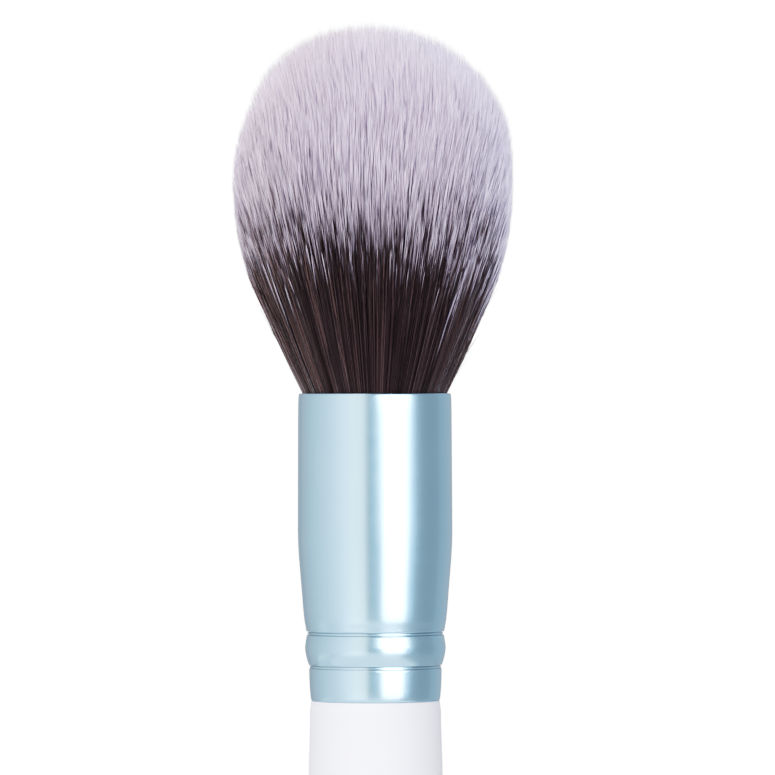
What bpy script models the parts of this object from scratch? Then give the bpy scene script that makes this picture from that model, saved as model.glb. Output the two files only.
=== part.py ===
"""Blush brush: a domed head of two-tone fibre, a rolled aluminium ferrule and a turned handle.

Run with blender --background --python part.py, or from the text editor.
Metres, +Z along the brush towards the fibre, origin at the centre of the handle's flat end.
"""

import math
import random

import bmesh
import bpy
import numpy as np

MM = 0.001

# Driving dimensions
HANDLE_LENGTH = 105.0 * MM
HANDLE_SHOULDER_RADIUS = 7.68 * MM
HANDLE_BELLY_RADIUS = 8.05 * MM
HANDLE_BELLY_BELOW_SHOULDER = 32.0 * MM
HANDLE_END_RADIUS = 5.3 * MM
HANDLE_FLAT_RADIUS = 4.5 * MM
SHOULDER_DROP = 1.0 * MM
SHOULDER_INSET = 0.28 * MM
FERRULE_LENGTH = 36.0 * MM
FERRULE_RADIUS = 9.0 * MM
FERRULE_WALL = 0.4 * MM
HEAD_HEIGHT = 43.4 * MM
HEAD_RADIUS = 16.5 * MM
HEAD_WIDEST = 24.5 * MM
STRANDS = 430

# The gap that each piece keeps to the next
GAP = 0.3 * MM

# Heights along the brush
SHOULDER = HANDLE_LENGTH
FOOT = SHOULDER + GAP
MOUTH = FOOT + FERRULE_LENGTH
SLICE_TOP = MOUTH - 3.0 * MM
SLICE_BOTTOM = SLICE_TOP - 3.0 * MM
RESIN_TOP = SLICE_BOTTOM - GAP
RESIN_BOTTOM = FOOT + 15.6 * MM
GLUE_TOP = RESIN_BOTTOM - GAP
TENON_TOP = FOOT + 13.2 * MM

# Ferrule outline: heights above its foot
FOOT_RADIUS = 7.32 * MM
BAND_RADIUS = 7.72 * MM
LOW_GROOVE = 4.15 * MM
LOW_GROOVE_FLOOR = 7.62 * MM
BEAD_CROWN = 6.3 * MM
BEAD_RADIUS = 8.23 * MM
BEAD_CURVE = 4.2 * MM
BEAD_TOP = 7.55 * MM
BEAD_FOOT = 4.5 * MM
HIGH_GROOVE = 8.0 * MM
HIGH_GROOVE_FLOOR = 7.76 * MM
TAPER_FOOT = 10.5 * MM
TAPER_FOOT_RADIUS = 8.37 * MM
TAPER_TOP = 17.9 * MM
LIP = 0.15 * MM

# Resin, thread and slice
RESIN_RADIUS = FERRULE_RADIUS - FERRULE_WALL - GAP
TIE_HEIGHT = FOOT + 21.0 * MM
TIE_WAIST = 6.9 * MM
TIE_TURNS = 4
THREAD_RADIUS = 0.35 * MM
THREAD_PITCH = 1.1 * MM

# Fibre head
MOUTH_SPLAY_RADIUS = 8.6 * MM
SPLAY_SLOPE = 0.47
SPLAY_EASING = 3.5
FLANK_POWER = 1.1
FLANK_FOOT_RADIUS = 8.75 * MM
OUTER_SPLAY = 0.95
STRAND_ROOT = -4.0 * MM
STRAND_BEND = 12.5 * MM
STRAND_SHOULDER = 0.85
STRAND_RADII = (0.17 * MM, 0.42 * MM, 0.46 * MM)
TIP_JITTER = 0.5 * MM
GOLDEN_ANGLE = math.pi * (3 - math.sqrt(5))
SEED = 7

# Faceting
ROUND_SIDES = 40
INNER_SIDES = 32
SMOOTH_BELOW = math.radians(35)
WELD = 0.01 * MM

for leftover in list(bpy.data.objects):
    bpy.data.objects.remove(leftover)


def new_collection(name, helper=False):
    collection = bpy.data.collections.new(name)
    bpy.context.scene.collection.children.link(collection)
    collection.hide_render = helper
    return collection


brush = new_collection("blush_brush")
helpers = new_collection("helpers", helper=True)


def material(name, colour, roughness, metallic=0.0):
    made = bpy.data.materials.new(name)
    made.use_nodes = True
    shader = made.node_tree.nodes["Principled BSDF"]
    shader.inputs["Base Color"].default_value = (*colour, 1.0)
    shader.inputs["Roughness"].default_value = roughness
    shader.inputs["Metallic"].default_value = metallic
    made.diffuse_color = (*colour, 1.0)
    return made


def evaluated_mesh(obj):
    """The object's mesh as its modifiers or its bevel leave it."""
    graph = bpy.context.evaluated_depsgraph_get()
    graph.update()
    return bpy.data.meshes.new_from_object(obj.evaluated_get(graph))


def weld(mesh):
    """Closes the caps and points of swept curves and turns their faces outward."""
    shape = bmesh.new()
    shape.from_mesh(mesh)
    bmesh.ops.remove_doubles(shape, verts=shape.verts, dist=WELD)
    bmesh.ops.dissolve_degenerate(shape, edges=shape.edges, dist=WELD)
    bmesh.ops.recalc_face_normals(shape, faces=shape.faces)
    shape.to_mesh(mesh)
    shape.free()


def realise(obj, finish):
    """Turns modifiers into plain mesh, shades round stretches smooth and gives the piece its material."""
    mesh = evaluated_mesh(obj)
    obj.modifiers.clear()
    obj.data = mesh
    mesh.name = obj.name
    mesh.shade_smooth()
    mesh.set_sharp_from_angle(angle=SMOOTH_BELOW)
    mesh.materials.clear()
    mesh.materials.append(finish)
    return obj


def turned(name, outline, sides, collection):
    """A round piece: an outline of (radius, height) points, top to bottom, turned about the axis."""
    mesh = bpy.data.meshes.new(name)
    points = [(radius, 0.0, height) for radius, height in outline]
    mesh.from_pydata(points, [(i, i + 1) for i in range(len(points) - 1)], [])
    obj = bpy.data.objects.new(name, mesh)
    collection.objects.link(obj)
    screw = obj.modifiers.new("turn", "SCREW")
    screw.steps = screw.render_steps = sides
    screw.use_merge_vertices = True
    screw.merge_threshold = WELD
    return obj


def arc(centre, radius, start, end, steps):
    """Points on a circle in the outline's plane, from one angle to another in degrees."""
    for step in range(steps + 1):
        angle = math.radians(start + (end - start) * step / steps)
        yield centre[0] + radius * math.cos(angle), centre[1] + radius * math.sin(angle)


def eased(start, end, steps):
    """Heights and fractions between two heights, for a stretch that starts and ends level."""
    for step in range(steps + 1):
        fraction = step / steps
        yield start + (end - start) * fraction, fraction * fraction * (3 - 2 * fraction)


def bead_at(height):
    return BEAD_RADIUS - BEAD_CURVE + math.sqrt(BEAD_CURVE**2 - (height - BEAD_CROWN) ** 2)


def ferrule_outline():
    """The outer wall from mouth to foot: cylinder, taper, groove, bead, groove and curled-in band."""
    bead = [(bead_at(height), height) for height in np.linspace(BEAD_TOP, BEAD_FOOT, 7)]
    above_foot = [
        (FERRULE_RADIUS, FERRULE_LENGTH),
        (FERRULE_RADIUS, FERRULE_LENGTH - 12.0 * MM),
        (FERRULE_RADIUS, TAPER_TOP + 1.2 * MM),
        (FERRULE_RADIUS - 0.03 * MM, TAPER_TOP),
        (FERRULE_RADIUS - 0.12 * MM, TAPER_TOP - 1.2 * MM),
        (TAPER_FOOT_RADIUS, TAPER_FOOT),
        (TAPER_FOOT_RADIUS - 0.10 * MM, TAPER_FOOT - 1.0 * MM),
        (TAPER_FOOT_RADIUS - 0.25 * MM, TAPER_FOOT - 1.8 * MM),
        (HIGH_GROOVE_FLOOR + 0.03 * MM, HIGH_GROOVE + 0.30 * MM),
        (HIGH_GROOVE_FLOOR, HIGH_GROOVE),
        (HIGH_GROOVE_FLOOR + 0.02 * MM, HIGH_GROOVE - 0.22 * MM),
        *bead,
        (LOW_GROOVE_FLOOR + 0.02 * MM, LOW_GROOVE + 0.16 * MM),
        (LOW_GROOVE_FLOOR + 0.01 * MM, LOW_GROOVE - 0.12 * MM),
        (BAND_RADIUS, LOW_GROOVE - 0.45 * MM),
        (BAND_RADIUS - 0.04 * MM, 2.0 * MM),
        (BAND_RADIUS - 0.12 * MM, 1.0 * MM),
        (BAND_RADIUS - 0.24 * MM, 0.35 * MM),
        (FOOT_RADIUS, 0.0),
    ]
    return [(radius, FOOT + height) for radius, height in above_foot]


def make_ferrule(finish):
    obj = turned("ferrule", ferrule_outline(), ROUND_SIDES, brush)
    wall = obj.modifiers.new("wall", "SOLIDIFY")
    wall.thickness = FERRULE_WALL
    wall.offset = -1.0
    wall.use_even_offset = True
    lip = obj.modifiers.new("lip", "BEVEL")
    lip.width = LIP
    lip.segments = 2
    lip.limit_method = "ANGLE"
    lip.angle_limit = math.radians(62)
    return realise(obj, finish)


def handle_outline():
    """Tenon with the two waists that the ferrule's grooves crimp into it, shoulder, belly, taper, flat end."""
    belly = SHOULDER - HANDLE_BELLY_BELOW_SHOULDER
    tenon = [
        (0.0, TENON_TOP),
        (6.6 * MM, TENON_TOP),
        (7.3 * MM, TENON_TOP - 0.9 * MM),
        (7.3 * MM, FOOT + 9.6 * MM),
        (6.95 * MM, FOOT + 8.9 * MM),
        (6.95 * MM, FOOT + 7.3 * MM),
        (7.2 * MM, FOOT + 6.8 * MM),
        (7.2 * MM, FOOT + 5.6 * MM),
        (6.85 * MM, FOOT + 4.9 * MM),
        (6.85 * MM, FOOT + 1.9 * MM),
        (6.5 * MM, FOOT + 1.2 * MM),
        (6.5 * MM, SHOULDER),
    ]
    shoulder = [
        (
            HANDLE_SHOULDER_RADIUS - SHOULDER_INSET * (1 - math.sin(angle)),
            SHOULDER - SHOULDER_DROP * (1 - math.cos(angle)),
        )
        for angle in np.radians((0, 30, 60, 90))
    ]
    swell = HANDLE_BELLY_RADIUS - HANDLE_SHOULDER_RADIUS
    neck = [
        (HANDLE_BELLY_RADIUS - swell * ((height - belly) / HANDLE_BELLY_BELOW_SHOULDER) ** 2, height)
        for height in np.linspace(SHOULDER - 7.0 * MM, belly, 4)
    ]
    rounding = HANDLE_END_RADIUS - HANDLE_FLAT_RADIUS
    slimming = HANDLE_BELLY_RADIUS - HANDLE_END_RADIUS
    taper = [
        (HANDLE_BELLY_RADIUS - slimming * share, height)
        for height, share in eased(belly, rounding, 9)
    ]
    end = arc((HANDLE_FLAT_RADIUS, rounding), rounding, 0, -90, 3)
    return [*tenon, *shoulder, *neck, *taper[1:-1], *end, (0.0, 0.0)]


def make_handle(finish):
    return realise(turned("handle", handle_outline(), ROUND_SIDES, brush), finish)


def make_resin_plug(finish):
    """The set resin below the slice, drawn in where the thread ties the bundle, hollowed a little below."""
    waist_half = 3.2 * MM
    outline = [
        (0.0, RESIN_TOP),
        (RESIN_RADIUS, RESIN_TOP),
        (RESIN_RADIUS, TIE_HEIGHT + waist_half),
        (TIE_WAIST + 0.35 * MM, TIE_HEIGHT + waist_half - 0.5 * MM),
        (TIE_WAIST, TIE_HEIGHT + waist_half - 1.1 * MM),
        (TIE_WAIST, TIE_HEIGHT - waist_half + 1.1 * MM),
        (TIE_WAIST + 0.35 * MM, TIE_HEIGHT - waist_half + 0.5 * MM),
        (8.0 * MM, TIE_HEIGHT - waist_half),
        (7.9 * MM, RESIN_BOTTOM),
        (6.0 * MM, RESIN_BOTTOM + 0.35 * MM),
        (3.0 * MM, RESIN_BOTTOM + 0.6 * MM),
        (0.0, RESIN_BOTTOM + 0.7 * MM),
    ]
    return realise(turned("resin_plug", outline, INNER_SIDES, brush), finish)


def make_binding_thread(finish):
    """Close turns of thread round the waist of the resin, as one helix."""
    steps_a_turn = 20
    count = TIE_TURNS * steps_a_turn
    curve = bpy.data.curves.new("binding_thread", "CURVE")
    curve.dimensions = "3D"
    curve.bevel_depth = THREAD_RADIUS
    curve.bevel_resolution = 1
    curve.use_fill_caps = True
    spline = curve.splines.new("POLY")
    spline.points.add(count)
    radius = TIE_WAIST + GAP + THREAD_RADIUS
    for step, point in enumerate(spline.points):
        turns = step / steps_a_turn
        angle = 2 * math.pi * turns
        height = TIE_HEIGHT + THREAD_PITCH * (turns - TIE_TURNS / 2)
        point.co = (radius * math.cos(angle), radius * math.sin(angle), height, 1.0)
    obj = bpy.data.objects.new("binding_thread", curve)
    brush.objects.link(obj)
    curve.materials.append(finish)
    return obj


def make_tenon_glue(finish):
    """The disc of adhesive on the end of the tenon, squeezed down round its chamfer."""
    over_tenon = TENON_TOP + GAP
    outline = [
        (0.0, GLUE_TOP + 0.6 * MM),
        (3.0 * MM, GLUE_TOP + 0.5 * MM),
        (6.0 * MM, GLUE_TOP + 0.2 * MM),
        (7.8 * MM, GLUE_TOP - 0.1 * MM),
        (7.8 * MM, GLUE_TOP - 1.2 * MM),
        (7.65 * MM, TENON_TOP - 1.1 * MM),
        (7.55 * MM, TENON_TOP - 0.9 * MM),
        (6.8 * MM, over_tenon),
        (0.0, over_tenon),
    ]
    return realise(turned("tenon_glue", outline, INNER_SIDES, brush), finish)


def splay(height):
    """How far out a fibre from the very edge of the mouth has leaned, at a height above the mouth."""
    return MOUTH_SPLAY_RADIUS + SPLAY_SLOPE * height - SPLAY_EASING * height * height


def head_radius(height):
    """The head's outline: a flank that swells from the mouth, and an elliptical dome over its widest place."""
    if height < HEAD_WIDEST:
        share = math.sin(math.pi / 2 * (height / HEAD_WIDEST) ** FLANK_POWER)
        return FLANK_FOOT_RADIUS + (HEAD_RADIUS - FLANK_FOOT_RADIUS) * share
    rise = min((height - HEAD_WIDEST) / (HEAD_HEIGHT - HEAD_WIDEST), 1.0)
    return HEAD_RADIUS * math.sqrt(1 - rise * rise)


def tip_height(lean):
    """Where a fibre that keeps this share of the splay meets the outline."""
    low, high = STRAND_BEND, HEAD_HEIGHT
    for _ in range(30):
        middle = (low + high) / 2
        if lean * splay(middle) < head_radius(middle):
            low = middle
        else:
            high = middle
    return low


def strand_lines():
    """Each strand's (height, lean, radius) rows and its bearing, set out as a sunflower sets its seeds."""
    rng = random.Random(SEED)
    lines = []
    for index in range(STRANDS):
        lean = OUTER_SPLAY * math.sqrt((index + 0.5) / STRANDS)
        tip = tip_height(lean) - TIP_JITTER * rng.random()
        shoulder = STRAND_BEND + (tip - STRAND_BEND) * STRAND_SHOULDER
        heights = (STRAND_ROOT, STRAND_BEND, shoulder, tip)
        rows = [
            (height, lean * splay(height), radius)
            for height, radius in zip(heights, (*STRAND_RADII, 0.0))
        ]
        lines.append((index * GOLDEN_ANGLE, rows))
    return lines


def least_strand_gap(lines):
    """The least clear space between two strands, sampled on levels above the slice."""
    least = math.inf
    for level in np.linspace(SLICE_TOP - MOUTH, HEAD_HEIGHT, 60):
        spots = []
        for bearing, rows in lines:
            heights, outs, radii = zip(*rows)
            if level < heights[-1]:
                out = np.interp(level, heights, outs)
                reach = np.interp(level, heights, radii)
                spots.append((out * math.cos(bearing), out * math.sin(bearing), reach))
        if len(spots) < 2:
            continue
        spots = np.array(spots)
        apart = np.hypot(*(spots[:, None, :2] - spots[None, :, :2]).transpose(2, 0, 1))
        clear = apart - spots[:, None, 2] - spots[None, :, 2]
        np.fill_diagonal(clear, math.inf)
        least = min(least, clear.min())
    return least


def triangle_section():
    """The three-sided section that every strand is swept from, at a radius of one metre."""
    curve = bpy.data.curves.new("strand_section", "CURVE")
    curve.dimensions = "2D"
    spline = curve.splines.new("POLY")
    spline.points.add(2)
    spline.use_cyclic_u = True
    for corner, point in enumerate(spline.points):
        angle = 2 * math.pi * corner / 3
        point.co = (math.cos(angle), math.sin(angle), 0.0, 1.0)
    obj = bpy.data.objects.new("strand_section", curve)
    helpers.objects.link(obj)
    return obj


def make_strands(lines):
    """All strands as one helper mesh, each a tapered three-sided sweep that ends in a point."""
    curve = bpy.data.curves.new("strands", "CURVE")
    curve.dimensions = "3D"
    curve.twist_mode = "MINIMUM"
    curve.bevel_mode = "OBJECT"
    curve.bevel_object = triangle_section()
    curve.use_fill_caps = True
    for bearing, rows in lines:
        spline = curve.splines.new("POLY")
        spline.points.add(len(rows) - 1)
        for point, (height, out, radius) in zip(spline.points, rows):
            place = (out * math.cos(bearing), out * math.sin(bearing), MOUTH + height)
            point.co = (*place, 1.0)
            point.radius = radius
            point.tilt = bearing
    swept = bpy.data.objects.new("strand_sweep", curve)
    helpers.objects.link(swept)
    mesh = evaluated_mesh(swept)
    bpy.data.objects.remove(swept)
    weld(mesh)
    obj = bpy.data.objects.new("strands", mesh)
    obj.display_type = "WIRE"
    obj.hide_render = True
    helpers.objects.link(obj)
    return obj


def make_bristles(finish):
    """The strands joined to the slice of resin that they stand in."""
    lines = strand_lines()
    print(f"Least gap between strands: {least_strand_gap(lines) / MM:.3f} mm")
    outline = [
        (0.0, SLICE_TOP),
        (RESIN_RADIUS, SLICE_TOP),
        (RESIN_RADIUS, SLICE_BOTTOM),
        (0.0, SLICE_BOTTOM),
    ]
    obj = turned("bristles", outline, ROUND_SIDES, brush)
    join = obj.modifiers.new("strands", "BOOLEAN")
    join.operation = "UNION"
    join.solver = "EXACT"
    join.object = make_strands(lines)
    return realise(obj, finish)


make_handle(material("white_lacquer", (0.86, 0.86, 0.88), 0.4))
make_ferrule(material("teal_anodised_aluminium", (0.42, 0.66, 0.74), 0.25, metallic=1.0))
make_bristles(material("two_tone_fibre", (0.52, 0.47, 0.54), 0.6))
make_resin_plug(material("set_resin", (0.70, 0.58, 0.36), 0.3))
make_binding_thread(material("cotton_thread", (0.85, 0.82, 0.74), 0.9))
make_tenon_glue(material("wood_glue", (0.88, 0.82, 0.62), 0.4))
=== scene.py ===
"""Blush brush: the looks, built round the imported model.

Metres, +Z along the brush towards the fibre, origin at the centre of the handle's flat end.
"""

import math

import bpy
import numpy as np
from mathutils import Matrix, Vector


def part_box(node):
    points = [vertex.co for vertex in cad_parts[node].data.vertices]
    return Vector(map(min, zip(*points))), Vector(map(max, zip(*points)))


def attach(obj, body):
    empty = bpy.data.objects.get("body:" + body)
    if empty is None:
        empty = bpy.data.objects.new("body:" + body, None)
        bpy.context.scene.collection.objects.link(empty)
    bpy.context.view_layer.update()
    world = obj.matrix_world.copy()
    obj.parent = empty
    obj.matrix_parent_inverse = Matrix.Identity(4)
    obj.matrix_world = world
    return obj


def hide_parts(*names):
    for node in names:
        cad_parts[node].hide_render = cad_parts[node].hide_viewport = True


MM = 0.001
FULL_TURN = 2 * math.pi

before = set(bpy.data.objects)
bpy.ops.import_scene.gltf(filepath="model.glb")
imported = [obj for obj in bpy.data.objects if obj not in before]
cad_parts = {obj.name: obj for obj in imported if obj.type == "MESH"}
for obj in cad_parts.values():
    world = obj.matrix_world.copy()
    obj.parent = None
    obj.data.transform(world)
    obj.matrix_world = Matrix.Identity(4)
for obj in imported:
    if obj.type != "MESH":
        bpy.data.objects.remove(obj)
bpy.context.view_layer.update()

# Heights along the brush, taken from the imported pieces
FERRULE_GAP = 0.3 * MM
SLICE_THICKNESS = 3.0 * MM
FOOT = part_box("ferrule")[0].z
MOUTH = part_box("ferrule")[1].z
SHOULDER = FOOT - FERRULE_GAP
SLICE_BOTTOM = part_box("bristles")[0].z
SLICE_TOP = SLICE_BOTTOM + SLICE_THICKNESS

# Turned pieces: edges under SMOOTH_BELOW degrees are shaded smooth
FERRULE_RADIUS = 9.0 * MM
FERRULE_WALL = 0.4 * MM
FERRULE_SIDES = 192
HANDLE_SIDES = 160
SLICE_SIDES = 96
SLICE_CLEARANCE = 0.05 * MM
WELD = 0.001 * MM
SMOOTH_BELOW = 35.0

# Bead and creases of the ferrule, in millimetres, heights above its foot.
# From the crest, the bead falls off by a factor times a power of the distance
BEAD_CREST = 8.264
BEAD_CREST_HEIGHT = 6.26
BEAD_TOP = 7.66
BEAD_BOTTOM = 4.22
BEAD_ROWS = 27
BEAD_FALL_ABOVE = (0.135, 1.3)
BEAD_FALL_BELOW = (0.13, 1.7)
# Heights of the ferrule's creases, and the half width of the bands there where the metal's colour
# is darkened as painted shade
CREASE_SHADE_HEIGHTS = (8.045, 7.768, 4.112, 3.842)
CREASE_SHADE_HALF_WIDTH = 0.045

# Handle below its shoulder
NECK_RADIUS = 7.70 * MM
NECK_BELOW_SHOULDER = 6.5 * MM
NECK_ROWS = 10
BELLY_RADIUS = 8.05 * MM
BELLY_BELOW_SHOULDER = 32.0 * MM
END_RADIUS = 5.3 * MM
FLAT_RADIUS = 4.5 * MM

# First, last and count of the taper's rows, as shares of its length, and of the end's, in degrees
TAPER_SHARES = (0.05, 1.0, 26)
ROUNDING_ANGLES = (12, 90, 8)

# Outline of the fibre head, heights above the mouth
HEAD_HEIGHT = 43.7 * MM
HEAD_RADIUS = 16.62 * MM
HEAD_WIDEST = 25.2 * MM
FLANK_FOOT_RADIUS = 8.85 * MM
FLANK_POWER = 0.97
DOME_POWER = 2.215
LOWEST_TIP = 12.5 * MM
HALVINGS = 30
MOUTH_SPLAY_RADIUS = 8.62 * MM
SPLAY_SLOPE = 0.505
SPLAY_EASING = 3.5
HEAD_LEAN = 0.46 * MM
LEAN_POWER = 1.5
SHOULDER_SHIFT = 0.45 * MM
SHOULDER_HEIGHT = 33.0 * MM
SHOULDER_SPREAD = 5.0 * MM

# Fibres and the locks that they gather in. Places across the bundle are shares of the splay,
# pairs are the ends of a range, and SHORT_FIBRE and SHORT_LOCK are a gamma's shape and scale
SEED = 11
GOLDEN_ANGLE = math.pi * (3 - math.sqrt(5))
FIBRES = 37000
FIBRE_BUNDLES = 9
FIBRE_SIDES = 3
FIBRE_RADIUS = 0.043 * MM
GIRTH = (0.85, 1.15)
TIP_SHARE = 0.55
TAPER = 6.0 * MM
TAPER_POWER = 0.7
ROOT_DEPTH = 3.2 * MM
ROW_SHARES = (0.25, 0.48, 0.68, 0.84, 0.94)
OUTER_LEAN = 0.985
EDGE_SOFTNESS = 0.015
ROOT_TUCK = 0.015
ROOT_JITTER = 0.007
TIP_JITTER = 0.012
LOCKS = 4500
LOCK_JITTER = 0.010
LOCK_PULL = (0.12, 0.42)
SHORT_FIBRE = (1.3, 0.25 * MM)
SHORT_LOCK = (1.0, 0.22 * MM)
PROUD_SHARE = 0.10
PROUD_BY = 0.6 * MM
STRAY_SHARE = 0.08
STRAY_LEAN = 0.95
STRAY_OUTWARD = (1.01, 1.05)
STRAY_LENGTH = (0.35, 0.95)
CRIMP = (0.03, 0.14)
CRIMP_WAVE = 24 * MM

# The chart of dye and painted side light: each fibre reads one column of it, and its height picks
# the row.
# Three tones for the left of the head, three for the middle and three for the right. The middle
# ones are the fibres' own colours. The left ones, pinker and with a lighter brown, are painted warm
# light through the lit left flank, and the right ones, bluer and with a lighter brown, are painted
# cool light on the right flank
DYE_LEVELS = 32
TONES_OF_DYE_AND_LIGHT = 9
TONES_A_HUE = 3
CHART_COLUMNS = DYE_LEVELS * TONES_OF_DYE_AND_LIGHT
PALE_TONES_WITH_SIDE_LIGHT = (
    (0.497, 0.402, 0.518),
    (0.779, 0.661, 0.796),
    (0.338, 0.273, 0.352),
    (0.475, 0.402, 0.548),
    (0.755, 0.661, 0.836),
    (0.323, 0.273, 0.373),
    (0.445, 0.402, 0.566),
    (0.724, 0.661, 0.858),
    (0.303, 0.273, 0.385),
)
BROWN_TONES_WITH_SIDE_LIGHT = (
    (0.018, 0.0075, 0.0085),
    (0.070, 0.0390, 0.0390),
    (0.175, 0.1000, 0.1000),
    (0.005, 0.0015, 0.0030),
    (0.018, 0.0085, 0.0110),
    (0.048, 0.0290, 0.0335),
    (0.011, 0.0045, 0.0058),
    (0.035, 0.0190, 0.0205),
    (0.100, 0.0580, 0.0620),
)
CHART_BOTTOM = 4.0 * MM
CHART_HEIGHT = 50.0 * MM
COLUMN_MARGIN = 0.15
ROOT_CHART_RISE = 0.01

# Where the brown ends: high in the heart of the head, low at its flank
DYE_LOWEST = 5.0 * MM
DYE_HIGHEST = 36.0 * MM
DYE_BLEND = 5.2 * MM
DYE_AT_FLANK = 15.5 * MM
DYE_AT_HEART = 30.0 * MM
DYE_POWER = 0.6

# How the dye and the painted light vary. A row by side holds the value in the middle of the head
# and what its left and its right side add. Spreads, drops and the lengths of streaks are in
# millimetres
# At the left and right rims the brown ends lower, varies less and has fewer dark streaks: a painted
# glow of light through the fibres at the outline
RIM_POWER = 16
LOCK_SPREAD = 0.7
LOCK_SPREAD_BY_SIDE = (1.0, 1.0, 0.8)
FIBRE_SPREAD_BY_SIDE = (0.8, 1.3, 2.8)
RIM_CALM = 0.5
DROP_BY_SIDE = (0.0, 0.4, 0.6)
RIM_GLOW_DROP_BY_SIDE = (0.0, 1.6, 3.0)
DARK_STREAKS_BY_SIDE = (0.050, 0.05, 0.03)
DARK_STREAK = (1.0, 12.5)
RIM_STREAK_LOSS = 0.8
PALE_STREAKS_BY_SIDE = (0.012, 0.0, 0.035)
PALE_STREAK = (3.0, 10.0)
THIRD_TONE_BY_SIDE = (0.08, 0.08, 0.0)
# The side tones, whose left and right sets are painted warm and cool light on the flanks: how far
# in they reach, and how they spread
HUE_REACH = 1.05
HUE_POWER_LEFT = 0.9
HUE_POWER_RIGHT = 1.5
HUE_SPREAD = 0.30

# Camera: level, opposite the mouth, turned a trace as in the photo
CAMERA_DISTANCE = 0.88
CAMERA_ASIDE = 1.49 * MM
CAMERA_ABOVE_MOUTH = 0.73 * MM
CAMERA_ROLL = 0.13
CAMERA_LENS = 348.8
CAMERA_FILM = 36.0
CAMERA_CLIP = (0.05, 20.0)

# Film: the exposure that turns white, and (exposure, brightness) below it
FILM_WHITE = 3.2
FILM_CURVE = (
    (0.05, 0.045),
    (0.1, 0.098),
    (0.2, 0.2),
    (0.3, 0.29),
    (0.45, 0.4),
    (0.7, 0.535),
    (1.0, 0.645),
    (1.4, 0.745),
    (1.95, 0.845),
    (2.6, 0.935),
)

# Room and floor
ROOM_TINT = (0.90, 1.0, 1.09)
ROOM_FRONT = 0.45
ROOM_BACK = 0.60
ROOM_TURNS_AT = -0.1
BACKDROP_BRIGHTNESS = FILM_WHITE * 1.01
FLOOR_RADIUS = 1.5
FLOOR_SIDES = 128

# Upright lights: name, azimuth in degrees, distance, width, bottom, top and radiance
PANELS = (
    ("strip_right", 30.4, 0.30, 0.192, 0.034, 0.15, 11.0),
    ("strip_edge", 54.8, 0.30, 0.058, 0.034, 0.27, 0.95),
    ("front_card", 2, 0.50, 0.13, 0.001, 0.30, 0.5),
    ("strip_right_high", 30.0, 0.30, 0.274, 0.15, 0.27, 10.0),
    ("side_left", -90, 0.40, 0.45, 0.22, 0.65, 1.5),
    ("side_right", 90, 0.40, 0.40, 0.22, 0.60, 1.8),
    ("back_right", 132, 0.40, 0.30, 0.001, 0.40, 0.12),
    ("handle_fill", -20, 0.50, 0.30, 0.001, 0.30, 4.7),
    ("handle_back_fill", 180, 0.50, 0.30, 0.001, 0.30, 3.2),
    ("rim_left", -126, 0.40, 0.30, 0.04, 0.22, 14.0),
    ("rim_right", 126, 0.40, 0.30, 0.04, 0.22, 15.0),
)

# The sweep: panels side by side from just left of the camera round to the back, ever dimmer
SWEEP_START = -20.2
SWEEP_STEP = -12.6
SWEEP_DISTANCE = 0.32
SWEEP_BOTTOM = 0.001
SWEEP_TOP = 0.70
SWEEP_RADIANCE = (2.1, 2.2, 1.87, 1.53, 1.2, 0.97, 0.79, 0.58, 0.38, 0.24)

# Level lights: name, centre, size, radiance, and whether it faces up
LEVEL_PANELS = (
    ("overhead", (-0.05, -0.08, 0.50), (0.40, 0.30), 8.0, False),
    ("floor_wash", (0.0, 0.0, 0.90), (2.2, 2.2), 1.45, False),
    ("floor_key", (-0.22, -0.20, 0.70), (0.30, 0.30), 8.0, False),
    ("bounce_card", (-0.05, -0.20, 0.0015), (0.46, 0.36), 1.42, True),
    ("bounce_left", (-0.22, 0.06, 0.0015), (0.36, 0.16), 0.78, True),
    ("bounce_right", (0.27, 0.0, 0.0015), (0.28, 0.36), 0.13, True),
)
TINTS = {
    "back_right": (0.62, 1.0, 1.3),
    "strip_edge": (0.35, 0.85, 1.4),
    "front_card": (0.0, 0.56, 1.0),
    "rim_left": (0.85, 1.0, 1.12),
    "rim_right": (0.8, 1.0, 1.18),
    "sweep_0": (1.12, 1.0, 0.87),
    "sweep_1": (1.06, 1.0, 0.87),
    "sweep_9": (1.3, 1.0, 0.9),
}

# Lights for one piece alone, and what the others leave out beside the floor. Only the cards
# that face up have no such limit
LIGHTS_ONLY = {
    "front_card": "ferrule",
    "handle_fill": "handle",
    "handle_back_fill": "handle",
    "floor_wash": "floor",
    "floor_key": "floor",
}
LEAVES_OUT = {
    "strip_right_high": ("handle",),
    "side_left": ("ferrule", "handle"),
    "side_right": ("ferrule", "handle"),
    "rim_left": ("ferrule", "handle"),
    "rim_right": ("ferrule", "handle"),
    "overhead": ("ferrule",),
}


def place_camera():
    data = bpy.data.cameras.new("camera")
    data.lens = CAMERA_LENS
    data.sensor_width = CAMERA_FILM
    data.clip_start, data.clip_end = CAMERA_CLIP
    camera = bpy.data.objects.new("camera", data)
    camera.location = (CAMERA_ASIDE, -CAMERA_DISTANCE, MOUTH + CAMERA_ABOVE_MOUTH)
    camera.rotation_euler = (math.radians(90), math.radians(CAMERA_ROLL), 0.0)
    bpy.context.scene.collection.objects.link(camera)
    bpy.context.scene.camera = camera


def set_film_curve():
    """A soft shoulder, as a camera gives: bright colours pale slowly towards white."""
    view = bpy.context.scene.view_settings
    view.view_transform = "Standard"
    view.use_curve_mapping = True
    film = view.curve_mapping
    film.white_level = (FILM_WHITE, FILM_WHITE, FILM_WHITE)
    for exposure, brightness in FILM_CURVE:
        film.curves[3].points.new(exposure / FILM_WHITE, brightness)
    film.update()


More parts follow.
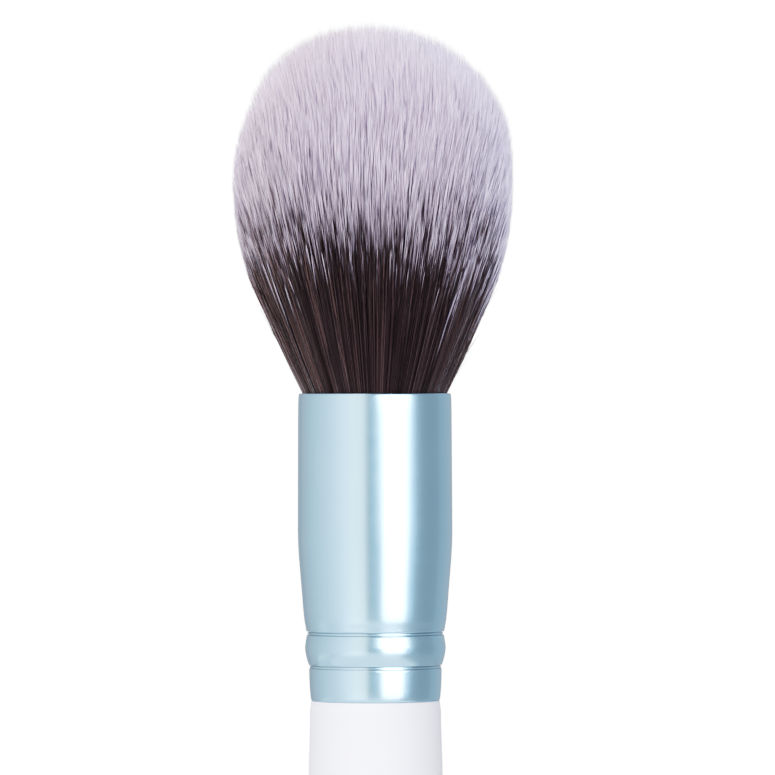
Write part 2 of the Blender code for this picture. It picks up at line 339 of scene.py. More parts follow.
def hang_background():
    """White for the camera, and for all else a dimmer room that is lighter behind the brush."""
    world = bpy.data.worlds.new("studio")
    world.use_nodes = True
    nodes, links = world.node_tree.nodes, world.node_tree.links
    nodes.clear()
    output = nodes.new("ShaderNodeOutputWorld")
    mix = nodes.new("ShaderNodeMixShader")
    seen = nodes.new("ShaderNodeLightPath")
    room = nodes.new("ShaderNodeBackground")
    room.inputs["Color"].default_value = (*ROOM_TINT, 1.0)
    white = nodes.new("ShaderNodeBackground")
    white.inputs["Color"].default_value = (1.0, 1.0, 1.0, 1.0)
    white.inputs["Strength"].default_value = BACKDROP_BRIGHTNESS
    direction = nodes.new("ShaderNodeTexCoord")
    axes = nodes.new("ShaderNodeSeparateXYZ")
    behind = nodes.new("ShaderNodeMapRange")
    behind.inputs["From Min"].default_value = ROOM_TURNS_AT
    behind.inputs["To Min"].default_value = ROOM_FRONT
    behind.inputs["To Max"].default_value = ROOM_BACK
    links.new(direction.outputs["Generated"], axes.inputs["Vector"])
    links.new(axes.outputs["Y"], behind.inputs["Value"])
    links.new(behind.outputs["Result"], room.inputs["Strength"])
    links.new(seen.outputs["Is Camera Ray"], mix.inputs["Fac"])
    links.new(room.outputs["Background"], mix.inputs[1])
    links.new(white.outputs["Background"], mix.inputs[2])
    links.new(mix.outputs["Shader"], output.inputs["Surface"])
    bpy.context.scene.world = world


def soft_light(name, place, turn, size, radiance):
    data = bpy.data.lights.new(name, "AREA")
    data.shape = "RECTANGLE"
    data.size, data.size_y = size
    data.energy = radiance * math.pi * size[0] * size[1]
    data.color = TINTS.get(name, (1.0, 1.0, 1.0))
    light = bpy.data.objects.new(name, data)
    light.location = place
    light.rotation_euler = turn
    light.visible_camera = False
    bpy.context.scene.collection.objects.link(light)
    return light


def upright_panel(name, azimuth, distance, width, bottom, top, radiance):
    """Faces the brush. Azimuth 0 is the camera's side, and positive is to its right."""
    bearing = math.radians(azimuth)
    place = (distance * math.sin(bearing), -distance * math.cos(bearing), (bottom + top) / 2)
    turn = (math.radians(90), 0.0, bearing)
    return soft_light(name, place, turn, (width, top - bottom), radiance)


def direct_light(light, pieces):
    """Keeps a light to its one piece, or off the floor and the pieces that it would spoil."""
    receivers = bpy.data.collections.new(f"{light.name}_receivers")
    if light.name in LIGHTS_ONLY:
        receivers.objects.link(pieces[LIGHTS_ONLY[light.name]])
    else:
        for number, unlit in enumerate(("floor", *LEAVES_OUT.get(light.name, ()))):
            receivers.objects.link(pieces[unlit])
            receivers.collection_objects[number].light_linking.link_state = "EXCLUDE"
    light.light_linking.receiver_collection = receivers


def light_studio(pieces):
    """Strips and cards round the brush, a sweep that fades round the left, and level panels.

    The cards that lie face up on the floor stand in for its reflection and light all pieces.
    """
    for row in PANELS:
        direct_light(upright_panel(*row), pieces)
    width = 2 * SWEEP_DISTANCE * math.tan(math.radians(abs(SWEEP_STEP) / 2))
    for number, radiance in enumerate(SWEEP_RADIANCE):
        azimuth = SWEEP_START + number * SWEEP_STEP
        span = (SWEEP_DISTANCE, width, SWEEP_BOTTOM, SWEEP_TOP)
        direct_light(upright_panel(f"sweep_{number}", azimuth, *span, radiance), pieces)
    for name, place, size, radiance, faces_up in LEVEL_PANELS:
        light = soft_light(name, place, (math.pi if faces_up else 0.0, 0.0, 0.0), size, radiance)
        if not faces_up:
            direct_light(light, pieces)


def lay_floor():
    """A pale disc for the camera, which neither shows in the metal nor lights the brush."""
    bpy.ops.object.select_all(action="DESELECT")
    bpy.ops.mesh.primitive_circle_add(vertices=FLOOR_SIDES, radius=FLOOR_RADIUS, fill_type="NGON")
    floor = bpy.context.object
    floor.name = floor.data.name = "floor"
    floor.data.materials.append(pale_floor())
    floor.visible_diffuse = floor.visible_glossy = False
    return floor


def new_material(name):
    made = bpy.data.materials.new(name)
    made.use_nodes = True
    nodes, links = made.node_tree.nodes, made.node_tree.links
    return made, nodes, links, nodes["Principled BSDF"]


def mottle_group():
    """Fine uneven shading of a surface: a value between Low and High, and the raw cloud."""
    group = bpy.data.node_groups.new("fine_mottle", "ShaderNodeTree")
    face = group.interface
    for name, kind, start_value in (
        ("Scale", "NodeSocketFloat", 400.0),
        ("Stretch", "NodeSocketVector", (1.0, 1.0, 1.0)),
        ("Low", "NodeSocketFloat", 0.4),
        ("High", "NodeSocketFloat", 0.6),
    ):
        face.new_socket(name, in_out="INPUT", socket_type=kind).default_value = start_value
    face.new_socket("Value", in_out="OUTPUT", socket_type="NodeSocketFloat")
    face.new_socket("Cloud", in_out="OUTPUT", socket_type="NodeSocketFloat")
    nodes, links = group.nodes, group.links
    start = nodes.new("NodeGroupInput")
    end = nodes.new("NodeGroupOutput")
    place = nodes.new("ShaderNodeTexCoord")
    stretch = nodes.new("ShaderNodeVectorMath")
    stretch.operation = "MULTIPLY"
    cloud = nodes.new("ShaderNodeTexNoise")
    cloud.inputs["Detail"].default_value = 4.0
    spread = nodes.new("ShaderNodeMapRange")
    spread.inputs["From Min"].default_value = 0.3
    spread.inputs["From Max"].default_value = 0.7
    links.new(place.outputs["Object"], stretch.inputs[0])
    links.new(start.outputs["Stretch"], stretch.inputs[1])
    links.new(stretch.outputs["Vector"], cloud.inputs["Vector"])
    links.new(start.outputs["Scale"], cloud.inputs["Scale"])
    links.new(cloud.outputs["Fac"], spread.inputs["Value"])
    links.new(start.outputs["Low"], spread.inputs["To Min"])
    links.new(start.outputs["High"], spread.inputs["To Max"])
    links.new(spread.outputs["Result"], end.inputs["Value"])
    links.new(cloud.outputs["Fac"], end.inputs["Cloud"])
    return group


MOTTLE = mottle_group()


def add_mottle(nodes, scale, low=0.0, high=1.0, stretch=(1.0, 1.0, 1.0)):
    made = nodes.new("ShaderNodeGroup")
    made.node_tree = MOTTLE
    made.inputs["Scale"].default_value = scale
    made.inputs["Stretch"].default_value = stretch
    made.inputs["Low"].default_value = low
    made.inputs["High"].default_value = high
    return made


def maths(nodes, links, operation, *terms):
    """A Math node on sockets or plain numbers. Puts out its value."""
    node = nodes.new("ShaderNodeMath")
    node.operation = operation
    for socket, term in zip(node.inputs, terms):
        if isinstance(term, bpy.types.NodeSocket):
            links.new(term, socket)
        else:
            socket.default_value = term
    return node.outputs["Value"]


def shade_between(nodes, links, mask, dark, light):
    """A colour that goes from dark to light with a mask."""
    ramp = nodes.new("ShaderNodeValToRGB")
    ramp.color_ramp.elements[0].color = (*dark, 1.0)
    ramp.color_ramp.elements[1].color = (*light, 1.0)
    links.new(mask, ramp.inputs["Fac"])
    return ramp.outputs["Color"]


def blend_colours(nodes, links, mask, first):
    """A Mix node for colours, from the first towards its B socket with a mask."""
    mix = nodes.new("ShaderNodeMix")
    mix.data_type = "RGBA"
    links.new(mask, mix.inputs["Factor"])
    links.new(first, mix.inputs["A"])
    return mix


def add_relief(nodes, links, shader, height, strength, distance):
    bump = nodes.new("ShaderNodeBump")
    bump.inputs["Strength"].default_value = strength
    bump.inputs["Distance"].default_value = distance
    links.new(height, bump.inputs["Height"])
    links.new(bump.outputs["Normal"], shader.inputs["Normal"])


def pale_floor():
    made, nodes, links, shader = new_material("pale_floor")
    shader.inputs["Base Color"].default_value = (0.72, 0.73, 0.74, 1.0)
    grain = add_mottle(nodes, scale=60.0, low=0.75, high=0.9)
    links.new(grain.outputs["Value"], shader.inputs["Roughness"])
    return made


def teal_anodised_aluminium():
    """A satin metal, anodised and coloured teal, under a clear sealed layer, with the faint lines
    of its turning, and painted shade in its creases.
    """
    made, nodes, links, shader = new_material("teal_anodised_aluminium")
    shader.inputs["Metallic"].default_value = 1.0
    shader.inputs["Coat Weight"].default_value = 0.5
    shader.inputs["Coat Roughness"].default_value = 0.38
    cloud = add_mottle(nodes, scale=90.0, stretch=(1.0, 1.0, 3.0)).outputs["Value"]
    dye = shade_between(nodes, links, cloud, (0.388, 0.655, 0.860), (0.408, 0.675, 0.880))
    place = nodes.new("ShaderNodeTexCoord")
    axes = nodes.new("ShaderNodeSeparateXYZ")
    links.new(place.outputs["Object"], axes.inputs["Vector"])
    # Painted shade: the colour darkens to a dark teal in narrow bands at the heights of the creases
    crease_shade_mask = 0.0
    for height in CREASE_SHADE_HEIGHTS:
        span = (FOOT + height * MM, CREASE_SHADE_HALF_WIDTH * MM)
        crease = maths(nodes, links, "COMPARE", axes.outputs["Z"], *span)
        crease_shade_mask = maths(nodes, links, "ADD", crease, crease_shade_mask)
    crease_shaded = blend_colours(nodes, links, crease_shade_mask, dye)
    crease_shaded.inputs["B"].default_value = (0.21, 0.33, 0.41, 1.0)
    links.new(crease_shaded.outputs["Result"], shader.inputs["Base Color"])
    satin = add_mottle(nodes, scale=300.0, low=0.225, high=0.245, stretch=(0.25, 0.25, 6.0))
    links.new(satin.outputs["Value"], shader.inputs["Roughness"])
    turning = add_mottle(nodes, scale=900.0, stretch=(0.05, 0.05, 8.0))
    add_relief(nodes, links, shader, turning.outputs["Cloud"], strength=0.07, distance=0.01 * MM)
    return made


def white_satin_lacquer():
    """Sprayed white lacquer, satin, with a faint orange peel."""
    made, nodes, links, shader = new_material("white_satin_lacquer")
    cloud = add_mottle(nodes, scale=40.0).outputs["Value"]
    white = shade_between(nodes, links, cloud, (0.825, 0.830, 0.925), (0.845, 0.850, 0.94))
    links.new(white, shader.inputs["Base Color"])
    satin = add_mottle(nodes, scale=500.0, low=0.52, high=0.60)
    links.new(satin.outputs["Value"], shader.inputs["Roughness"])
    peel = add_mottle(nodes, scale=1400.0)
    add_relief(nodes, links, shader, peel.outputs["Cloud"], strength=0.15, distance=0.02 * MM)
    return made


def cast_resin(name, dark, light, roughness):
    """Set resin or dried glue: cloudy, with small bubbles as dimples."""
    made, nodes, links, shader = new_material(name)
    cloud = add_mottle(nodes, scale=220.0).outputs["Value"]
    links.new(shade_between(nodes, links, cloud, dark, light), shader.inputs["Base Color"])
    gloss = add_mottle(nodes, scale=500.0, low=roughness - 0.05, high=roughness + 0.10)
    links.new(gloss.outputs["Value"], shader.inputs["Roughness"])
    place = nodes.new("ShaderNodeTexCoord")
    bubbles = nodes.new("ShaderNodeTexVoronoi")
    bubbles.inputs["Scale"].default_value = 1500.0
    links.new(place.outputs["Object"], bubbles.inputs["Vector"])
    add_relief(nodes, links, shader, bubbles.outputs["Distance"], strength=0.3, distance=0.05 * MM)
    return made


def cotton_thread():
    """Twisted cotton: slanting bands along the turns."""
    made, nodes, links, shader = new_material("cotton_thread")
    shader.inputs["Roughness"].default_value = 0.9
    place = nodes.new("ShaderNodeTexCoord")
    twist = nodes.new("ShaderNodeTexWave")
    twist.bands_direction = "DIAGONAL"
    twist.inputs["Scale"].default_value = 900.0
    twist.inputs["Distortion"].default_value = 1.5
    links.new(place.outputs["Object"], twist.inputs["Vector"])
    bands = twist.outputs["Fac"]
    tint = shade_between(nodes, links, bands, (0.62, 0.58, 0.48), (0.86, 0.83, 0.74))
    links.new(tint, shader.inputs["Base Color"])
    add_relief(nodes, links, shader, bands, strength=0.5, distance=0.08 * MM)
    return made


def tone_ramp(nodes, links, tone, colours):
    """A colour ramp with one evenly placed stop for each tone of the dye chart."""
    ramp = nodes.new("ShaderNodeValToRGB")
    stops = ramp.color_ramp.elements
    for number in range(1, len(colours) - 1):
        stops.new(number / (len(colours) - 1))
    for stop, colour in zip(stops, colours):
        stop.color = (*colour, 1.0)
    links.new(tone, ramp.inputs["Fac"])
    return ramp.outputs["Color"]


def two_tone_fibre():
    """Dark brown at the root and lilac-white at the tip, as the chart's column and row say.

    The tones of the flanks' columns are painted light: warmer on the left and cooler on the right.
    """
    made, nodes, links, shader = new_material("two_tone_fibre")
    shader.inputs["Specular IOR Level"].default_value = 0.12
    chart = nodes.new("ShaderNodeUVMap")
    chart.uv_map = "OFBake"
    axes = nodes.new("ShaderNodeSeparateXYZ")
    links.new(chart.outputs["UV"], axes.inputs["Vector"])

    def work(operation, *terms):
        return maths(nodes, links, operation, *terms)

    column = work("FLOOR", work("MULTIPLY", axes.outputs["X"], CHART_COLUMNS))
    level = work("DIVIDE", work("MODULO", column, DYE_LEVELS), DYE_LEVELS - 1)
    tone = work("DIVIDE", work("FLOOR", work("DIVIDE", column, DYE_LEVELS)), TONES_OF_DYE_AND_LIGHT - 1)
    height = work("MULTIPLY", axes.outputs["Y"], CHART_HEIGHT / MM)
    height = work("SUBTRACT", height, CHART_BOTTOM / MM)
    middle = work("MULTIPLY", level, (DYE_HIGHEST - DYE_LOWEST) / MM)
    middle = work("ADD", middle, DYE_LOWEST / MM)
    paleness = nodes.new("ShaderNodeMapRange")
    paleness.interpolation_type = "SMOOTHSTEP"
    links.new(height, paleness.inputs["Value"])
    links.new(work("SUBTRACT", middle, DYE_BLEND / MM / 2), paleness.inputs["From Min"])
    links.new(work("ADD", middle, DYE_BLEND / MM / 2), paleness.inputs["From Max"])
    # The flanks' tones in these ramps are painted side light
    brown = tone_ramp(nodes, links, tone, BROWN_TONES_WITH_SIDE_LIGHT)
    dyed_and_lit = blend_colours(nodes, links, paleness.outputs["Result"], brown)
    links.new(tone_ramp(nodes, links, tone, PALE_TONES_WITH_SIDE_LIGHT), dyed_and_lit.inputs["B"])
    links.new(dyed_and_lit.outputs["Result"], shader.inputs["Base Color"])
    sheen = nodes.new("ShaderNodeMapRange")
    sheen.inputs["To Min"].default_value = 0.42
    sheen.inputs["To Max"].default_value = 0.55
    links.new(paleness.outputs["Result"], sheen.inputs["Value"])
    links.new(sheen.outputs["Result"], shader.inputs["Roughness"])
    return made


def turn_piece(name, outline, sides, capped=True):
    """A ring of edges pulled through an outline of (radius, height) rows.

    Capped, both its ends are closed. Open, its last row meets the first and is welded to it.
    """
    start_radius, start_height = outline[0]
    place = (0.0, 0.0, start_height)
    bpy.ops.object.select_all(action="DESELECT")
    bpy.ops.mesh.primitive_circle_add(vertices=sides, radius=start_radius, location=place)
    piece = bpy.context.object
    piece.name = piece.data.name = name
    bpy.ops.object.mode_set(mode="EDIT")
    bpy.ops.mesh.select_mode(type="EDGE")
    bpy.ops.mesh.select_all(action="SELECT")
    if capped:
        bpy.ops.mesh.edge_face_add()
    for (radius, height), (next_radius, next_height) in zip(outline, outline[1:]):
        rise = {"value": (0.0, 0.0, next_height - height)}
        bpy.ops.mesh.extrude_region_move(TRANSFORM_OT_translate=rise)
        share = next_radius / radius
        centre = (0.0, 0.0, next_height)
        bpy.ops.transform.resize(value=(share, share, 1.0), center_override=centre)
    bpy.ops.mesh.select_all(action="SELECT")
    if not capped:
        bpy.ops.mesh.remove_doubles(threshold=WELD)
    bpy.ops.mesh.normals_make_consistent(inside=False)
    bpy.ops.object.mode_set(mode="OBJECT")
    return piece


def finish_piece(piece, finish, node):
    """Puts the piece's place in its mesh, shades it, and attaches it to the root in place of its
    imported part.
    """
    bpy.ops.object.select_all(action="DESELECT")
    piece.select_set(True)
    bpy.context.view_layer.objects.active = piece
    bpy.ops.object.transform_apply(location=True, rotation=True, scale=True)
    bpy.ops.object.shade_smooth_by_angle(angle=math.radians(SMOOTH_BELOW))
    piece.data.materials.clear()
    piece.data.materials.append(finish)
    hand_over(piece, node)
    return piece


def hand_over(piece, node):
    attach(piece, "root")
    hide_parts(node)


def bead_radius(height):
    """The bead bulges to its crest, and is fuller above the crest than below it."""
    factor, power = BEAD_FALL_ABOVE if height > BEAD_CREST_HEIGHT else BEAD_FALL_BELOW
    return BEAD_CREST - factor * abs(height - BEAD_CREST_HEIGHT) ** power


def ferrule_outline():
    """Round the wall: down the outside from the mouth, round the rim, and up the inside again."""
    lip = [(8.76, 36.0), (8.83, 35.99), (8.885, 35.955), (8.92, 35.9), (8.94, 35.82), (8.963, 35.6)]
    tube = [(8.998, 35.0), (9.02, 33.5), (9.035, 30.0), (9.055, 25.0), (9.07, 20.6)]
    taper = [(9.072, 19.8), (9.06, 19.0), (9.028, 18.0), (8.967, 17.0), (8.885, 15.9), (8.78, 14.6)]
    taper += [(8.667, 13.3), (8.567, 12.0), (8.48, 10.9), (8.415, 10.2), (8.365, 9.75)]
    taper += [(8.325, 9.4), (8.272, 9.1), (8.215, 8.8), (8.165, 8.5), (8.135, 8.32)]
    taper += [(8.12, 8.22), (8.095, 8.16), (8.04, 8.115), (7.96, 8.10)]
    high_groove = [(7.74, 8.09), (7.74, 8.0), (7.955, 7.985), (7.97, 7.94), (7.97, 7.87)]
    high_groove += [(7.955, 7.825), (7.76, 7.815), (7.76, 7.725), (8.0, 7.715), (8.04, 7.69)]
    bead_heights = np.linspace(BEAD_TOP, BEAD_BOTTOM, BEAD_ROWS)
    bead = [(bead_radius(height), height) for height in bead_heights]
    low_groove = [(7.79, 4.18), (7.73, 4.165), (7.56, 4.155), (7.56, 4.07), (7.70, 4.06)]
    low_groove += [(7.71, 3.96), (7.705, 3.885), (7.60, 3.875), (7.60, 3.81), (7.74, 3.795)]
    low_groove += [(7.77, 3.72), (7.785, 3.6)]
    band = [(7.79, 3.45), (7.775, 3.0), (7.765, 2.5), (7.74, 2.04), (7.716, 1.57), (7.692, 1.22)]
    band += [(7.662, 0.87)]
    rim = [(7.632, 0.57), (7.60, 0.33), (7.573, 0.19), (7.54, 0.09), (7.50, 0.03), (7.45, 0.0)]
    rim += [(7.36, -0.01)]
    inside = [(7.28, 0.0), (7.23, 0.05), (7.21, 0.15), (7.25, 0.8), (7.33, 2.0), (7.33, 3.3)]
    inside += [(7.22, 4.0), (7.24, 4.3), (7.45, 4.7), (7.72, 5.4), (7.84, 6.2), (7.74, 7.0)]
    inside += [(7.44, 7.6), (7.36, 8.0), (7.44, 8.4), (7.78, 8.9), (7.94, 9.6), (8.08, 11.0)]
    inside += [(8.27, 13.3), (8.485, 15.9), (8.628, 18.0), (8.672, 19.8), (8.655, 25.0)]
    inside += [(8.635, 30.0), (8.615, 34.8), (8.61, 35.7), (8.62, 35.87), (8.65, 35.96)]
    inside += [(8.70, 35.995), (8.76, 36.0)]
    rows = [*lip, *tube, *taper, *high_groove, *bead, *low_groove, *band, *rim, *inside]
    return [(radius * MM, FOOT + height * MM) for radius, height in rows]


def make_ferrule(finish):
    piece = turn_piece("rolled_ferrule", ferrule_outline(), FERRULE_SIDES, capped=False)
    return finish_piece(piece, finish, "ferrule")


def handle_outline():
    """Tenon, shoulder, belly, taper and flat end, top to bottom."""
    tenon = [(6.6, 13.5), (7.1, 13.2), (7.3, 12.6), (7.3, 9.9), (6.95, 9.2), (6.95, 7.6)]
    tenon += [(7.2, 7.1), (7.2, 5.9), (6.85, 5.2), (6.85, 2.2), (6.5, 1.5), (6.5, 0.28)]
    shoulder = [(7.0, 0.27), (7.40, 0.27), (7.50, 0.265), (7.54, 0.24), (7.56, 0.18)]
    shoulder += [(7.57, -0.05), (7.59, -0.32), (7.612, -0.44), (7.65, -0.57), (7.672, -0.70)]
    shoulder += [(7.685, -0.85), (7.69, -1.2), (7.695, -1.9), (7.705, -2.7), (7.725, -3.5)]
    shoulder += [(7.755, -4.3), (7.775, -5.2)]
    rows = [(radius * MM, SHOULDER + rise * MM) for radius, rise in tenon + shoulder]
    belly = SHOULDER - BELLY_BELOW_SHOULDER
    rounding = END_RADIUS - FLAT_RADIUS
    for height in np.linspace(SHOULDER - NECK_BELOW_SHOULDER, belly, NECK_ROWS):
        rise = (height - belly) / BELLY_BELOW_SHOULDER
        rows.append((BELLY_RADIUS - (BELLY_RADIUS - NECK_RADIUS) * rise**2, height))
    for share in np.linspace(*TAPER_SHARES):
        eased = share * share * (3 - 2 * share)
        radius = BELLY_RADIUS - (BELLY_RADIUS - END_RADIUS) * eased
        rows.append((radius, belly + (rounding - belly) * share))
    for angle in np.radians(np.linspace(*ROUNDING_ANGLES)):
        rows.append((FLAT_RADIUS + rounding * math.cos(angle), rounding * (1 - math.sin(angle))))
    return rows


def make_handle(finish):
    piece = turn_piece("turned_handle", handle_outline(), HANDLE_SIDES)
    return finish_piece(piece, finish, "handle")


def make_resin_slice(finish):
    """The top of the resin, where the roots stand: a disc with a softened rim and a hollow."""
    radius = FERRULE_RADIUS - FERRULE_WALL - SLICE_CLEARANCE
    outline = [(radius - 0.15 * MM, SLICE_BOTTOM), (radius, SLICE_BOTTOM + 0.2 * MM)]
    outline += [(radius, SLICE_TOP), (radius - 0.1 * MM, SLICE_TOP - 0.05 * MM)]
    outline += [(radius - 1.2 * MM, SLICE_TOP - 0.25 * MM)]
    piece = turn_piece("resin_slice", outline, SLICE_SIDES)
    return finish_piece(piece, finish, "bristles")


def splay(height):
    """How far out a fibre from the very edge of the mouth has leaned, at a height above it."""
    rise = np.maximum(height, 0.0)
    return MOUTH_SPLAY_RADIUS + SPLAY_SLOPE * rise - SPLAY_EASING * rise * rise


def head_radius(height):
    """A flank that swells from the mouth, and a full dome over the head's widest place."""
    flank = np.sin(math.pi / 2 * np.clip(height / HEAD_WIDEST, 0.0, 1.0) ** FLANK_POWER)
    rise = np.clip((height - HEAD_WIDEST) / (HEAD_HEIGHT - HEAD_WIDEST), 0.0, 1.0)
    swell = FLANK_FOOT_RADIUS + (HEAD_RADIUS - FLANK_FOOT_RADIUS) * flank
    dome = HEAD_RADIUS * (1 - rise**DOME_POWER) ** (1 / DOME_POWER)
    return np.where(height < HEAD_WIDEST, swell, dome)


def tip_height(lean):
    """Where a fibre that keeps this share of the splay meets the outline, found by halving."""
    low, high = np.full(lean.shape, LOWEST_TIP), np.full(lean.shape, HEAD_HEIGHT)
    for _ in range(HALVINGS):
        middle = (low + high) / 2
        inside = lean * splay(middle) < head_radius(middle)
        low, high = np.where(inside, middle, low), np.where(inside, high, middle)
    return low


def nearest(points, centres, batch=1000):
    """The number of the centre that is nearest to each point, a batch at a time."""
    found = np.empty(len(points), int)
    for start in range(0, len(points), batch):
        apart = points[start : start + batch, None] - centres[None]
        found[start : start + batch] = (apart**2).sum(2).argmin(1)
    return found


def sunflower(count, reach):
    index = np.arange(count) + 0.5
    out, bearing = reach * np.sqrt(index / count), index * GOLDEN_ANGLE
    return np.stack([out * np.cos(bearing), out * np.sin(bearing)], 1)


def set_out_fibres(rng):
    """Where each fibre stands and where it ends, how high it reaches, and its lock."""
    root = sunflower(FIBRES, OUTER_LEAN) + rng.normal(0, ROOT_JITTER, (FIBRES, 2))
    lock_root = sunflower(LOCKS, OUTER_LEAN) + rng.normal(0, LOCK_JITTER, (LOCKS, 2))
    lock = nearest(root, lock_root)
    pull = rng.uniform(*LOCK_PULL, LOCKS)[lock, None]
    tip = root + pull * (lock_root[lock] - root) + rng.normal(0, TIP_JITTER, (FIBRES, 2))
    lean = np.hypot(*tip.T)
    edge = 1.0 - rng.gamma(1.0, EDGE_SOFTNESS, FIBRES)
    tip *= np.minimum(1.0, edge / lean)[:, None]
    lean = np.minimum(lean, edge)
    root *= np.minimum(1.0, (edge - ROOT_TUCK) / np.hypot(*root.T))[:, None]
    top = tip_height(lean) - rng.gamma(*SHORT_FIBRE, FIBRES) - rng.gamma(*SHORT_LOCK, LOCKS)[lock]
    top += np.where(rng.random(FIBRES) < PROUD_SHARE, rng.uniform(0.0, PROUD_BY, FIBRES), 0.0)
    stray_rng = np.random.default_rng(SEED + 1)
    stray = (lean > STRAY_LEAN) & (stray_rng.random(FIBRES) < STRAY_SHARE)
    tip *= np.where(stray, stray_rng.uniform(*STRAY_OUTWARD, FIBRES), 1.0)[:, None]
    top *= np.where(stray, stray_rng.uniform(*STRAY_LENGTH, FIBRES), 1.0)
    return root, tip, lean, top, lock


def bend_fibres(rng, root, tip, top):
    """Centre lines, heights and radii. A place is a share of the splay, so it fans out."""
    below = [np.full((FIBRES, 1), -ROOT_DEPTH), np.zeros((FIBRES, 1))]
    heights = np.concatenate([*below, top[:, None] * np.array((*ROW_SHARES, 1.0))], 1)
    climb = np.clip(heights / top[:, None], 0.0, 1.0)
    blend = (climb**3)[..., None]
    place = root[:, None] * (1 - blend) + tip[:, None] * blend
    centre = place * splay(heights)[..., None]
    centre[..., 0] -= HEAD_LEAN * (np.maximum(heights, 0.0) / HEAD_HEIGHT) ** LEAN_POWER
    from_shoulder = (heights - SHOULDER_HEIGHT) / SHOULDER_SPREAD
    centre[..., 0] += SHOULDER_SHIFT * np.exp(-(from_shoulder**2))
    crimp = rng.uniform(*CRIMP, FIBRES)[:, None] * MM * climb
    phase = rng.uniform(0, FULL_TURN, (FIBRES, 1)) + heights * 2 * math.pi / CRIMP_WAVE
    crimp_bearing = rng.uniform(0, FULL_TURN, (FIBRES, 1))
    centre[..., 0] += crimp * np.sin(phase) * np.cos(crimp_bearing)
    centre[..., 1] += crimp * np.sin(phase) * np.sin(crimp_bearing)
    to_go = np.clip((top[:, None] - heights) / TAPER, 0.0, 1.0)
    radius = FIBRE_RADIUS * (TIP_SHARE + (1 - TIP_SHARE) * to_go**TAPER_POWER)
    radius *= rng.uniform(*GIRTH, (FIBRES, 1))
    return centre, heights, radius


def dye_and_light_fibres(rng, tip, lean, lock):
    """Each fibre's column of the chart: the height where its brown ends, and its tone.

    Towards the left and right flanks the tone is painted side light.
    """
    side = tip[:, 0] / np.maximum(lean, 0.01)
    left, right = np.maximum(-side, 0.0), np.maximum(side, 0.0)
    # rim is near one only at the left and right outline, where the dye is paled as painted glow
    rim = np.abs(side) ** RIM_POWER

    def by_side(weights):
        return weights[0] + weights[1] * left + weights[2] * right

    change = DYE_AT_FLANK + (DYE_AT_HEART - DYE_AT_FLANK) * (1 - lean**2) ** DYE_POWER
    change += rng.normal(0, LOCK_SPREAD, LOCKS)[lock] * by_side(LOCK_SPREAD_BY_SIDE) * MM
    fibre_spread = rng.normal(0, 1.0, FIBRES) * by_side(FIBRE_SPREAD_BY_SIDE)
    change += fibre_spread * (1 - RIM_CALM * rim) * MM
    # Painted glow: the brown ends lower at the left and right rims
    change -= (by_side(DROP_BY_SIDE) + by_side(RIM_GLOW_DROP_BY_SIDE) * rim) * MM
    dark_share = by_side(DARK_STREAKS_BY_SIDE) * (1 - RIM_STREAK_LOSS * rim)
    dark_streak = rng.random(FIBRES) < dark_share
    change += np.where(dark_streak, rng.uniform(*DARK_STREAK, FIBRES), 0.0) * MM
    pale_streak = rng.random(FIBRES) < by_side(PALE_STREAKS_BY_SIDE)
    change -= np.where(pale_streak, rng.uniform(*PALE_STREAK, FIBRES), 0.0) * MM
    level = np.clip((change - DYE_LOWEST) / (DYE_HIGHEST - DYE_LOWEST), 0.0, 0.999)
    # Painted side light: fibres towards the left take the warmer tones, those towards the right the
    # bluer ones, both with a lighter brown
    hue_power = np.where(side < 0, HUE_POWER_LEFT, HUE_POWER_RIGHT)
    hue = 1 + HUE_REACH * side * np.abs(side) ** hue_power + rng.normal(0, HUE_SPREAD, FIBRES)
    hue = np.clip(np.rint(hue), 0, 2).astype(int)
    strength = rng.integers(0, 2, FIBRES)
    strength[rng.random(FIBRES) < by_side(THIRD_TONE_BY_SIDE)] = 2
    tone = TONES_A_HUE * hue + np.where(pale_streak, 0, strength)
    return (level * DYE_LEVELS).astype(int) + DYE_LEVELS * tone


def grow_fibres():
    """Centre lines, heights, radii, chart columns and twists of all fibres, drawn in this order.

    A chart column holds the fibre's dye and its painted side light.
    """
    rng = np.random.default_rng(SEED)
    root, tip, lean, top, lock = set_out_fibres(rng)
    centre, heights, radius = bend_fibres(rng, root, tip, top)
    column = dye_and_light_fibres(rng, tip, lean, lock)
    return centre, heights, radius, column, rng.uniform(0, FULL_TURN, FIBRES)


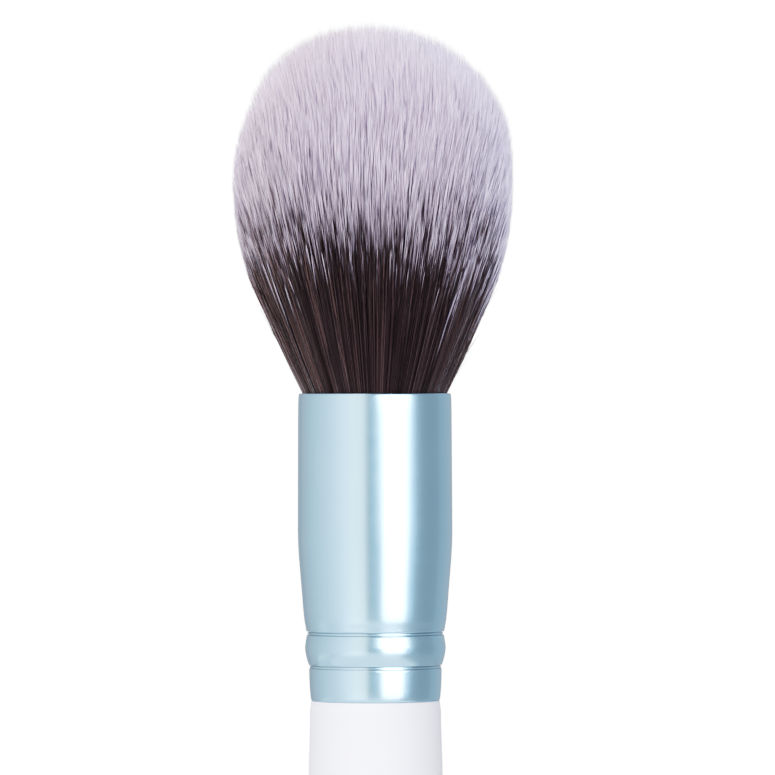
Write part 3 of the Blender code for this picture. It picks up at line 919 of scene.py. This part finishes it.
def sweep_fibres(name, centre, heights, radius, column, twist):
    """One bundle: each fibre is a tube that ends in a point, and reads its own chart column."""
    count, rows = heights.shape
    rings = rows - 1
    corner = twist[:, None] + np.arange(FIBRE_SIDES) * 2 * math.pi / FIBRE_SIDES
    points = np.empty((count, FIBRE_SIDES * rings + 1, 3))
    for row in range(rings):
        spot = points[:, FIBRE_SIDES * row : FIBRE_SIDES * (row + 1)]
        spot[..., 0] = centre[:, row, 0, None] + radius[:, row, None] * np.cos(corner)
        spot[..., 1] = centre[:, row, 1, None] + radius[:, row, None] * np.sin(corner)
        spot[..., 2] = MOUTH + heights[:, row, None]
    points[:, -1, :2] = centre[:, -1]
    points[:, -1, 2] = MOUTH + heights[:, -1]
    first = (FIBRE_SIDES * rings + 1) * np.arange(count)
    level = np.clip((heights + CHART_BOTTOM) / CHART_HEIGHT, 0.0, 1.0)
    left = (column + COLUMN_MARGIN) / CHART_COLUMNS
    right = (column + (1 - COLUMN_MARGIN)) / CHART_COLUMNS
    middle = (left + right) / 2
    faces, charts = [], []

    def add_faces(corners, across, up):
        """The same face on every fibre, and its corners' places on the chart."""
        faces.extend(np.stack([first + number for number in corners], 1).tolist())
        charts.append(np.stack([np.stack(across, 1), np.stack(up, 1)], 2).reshape(-1, 2))

    for row in range(rings):
        low, high = level[:, row], level[:, row + 1]
        for side in range(FIBRE_SIDES):
            a = FIBRE_SIDES * row + side
            b = FIBRE_SIDES * row + (side + 1) % FIBRE_SIDES
            if row < rings - 1:
                corners = (a, b, b + FIBRE_SIDES, a + FIBRE_SIDES)
                add_faces(corners, (left, right, right, left), (low, low, high, high))
            else:
                add_faces((a, b, FIBRE_SIDES * rings), (left, right, middle), (low, low, high))
    root = level[:, 0]
    add_faces((2, 1, 0), (left, right, middle), (root, root, root + ROOT_CHART_RISE))
    mesh = bpy.data.meshes.new(name)
    mesh.from_pydata(points.reshape(-1, 3).tolist(), [], faces)
    chart = mesh.uv_layers.new(name="OFBake")
    chart.uv.foreach_set("vector", np.concatenate(charts).astype(np.float32).ravel())
    mesh.shade_smooth()
    piece = bpy.data.objects.new(name, mesh)
    bpy.context.scene.collection.objects.link(piece)
    return piece


def make_fibre_head(finish):
    grown = grow_fibres()
    for number, members in enumerate(np.array_split(np.arange(FIBRES), FIBRE_BUNDLES), 1):
        piece = sweep_fibres(f"fibre_ring_{number}", *(part[members] for part in grown))
        piece.data.materials.append(finish)
        hand_over(piece, "bristles")


place_camera()
set_film_curve()
hang_background()

lit_pieces = {
    "floor": lay_floor(),
    "handle": make_handle(white_satin_lacquer()),
    "ferrule": make_ferrule(teal_anodised_aluminium()),
}
light_studio(lit_pieces)
resin = cast_resin("set_resin", (0.55, 0.42, 0.22), (0.72, 0.60, 0.38), roughness=0.3)
make_resin_slice(resin)
make_fibre_head(two_tone_fibre())

inner_finishes = {
    "resin_plug": resin,
    "tenon_glue": cast_resin("wood_glue", (0.80, 0.72, 0.50), (0.90, 0.85, 0.68), roughness=0.4),
    "binding_thread": cotton_thread(),
}
for node, finish in inner_finishes.items():
    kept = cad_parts[node]
    for material_slot in kept.material_slots:
        material_slot.material = finish
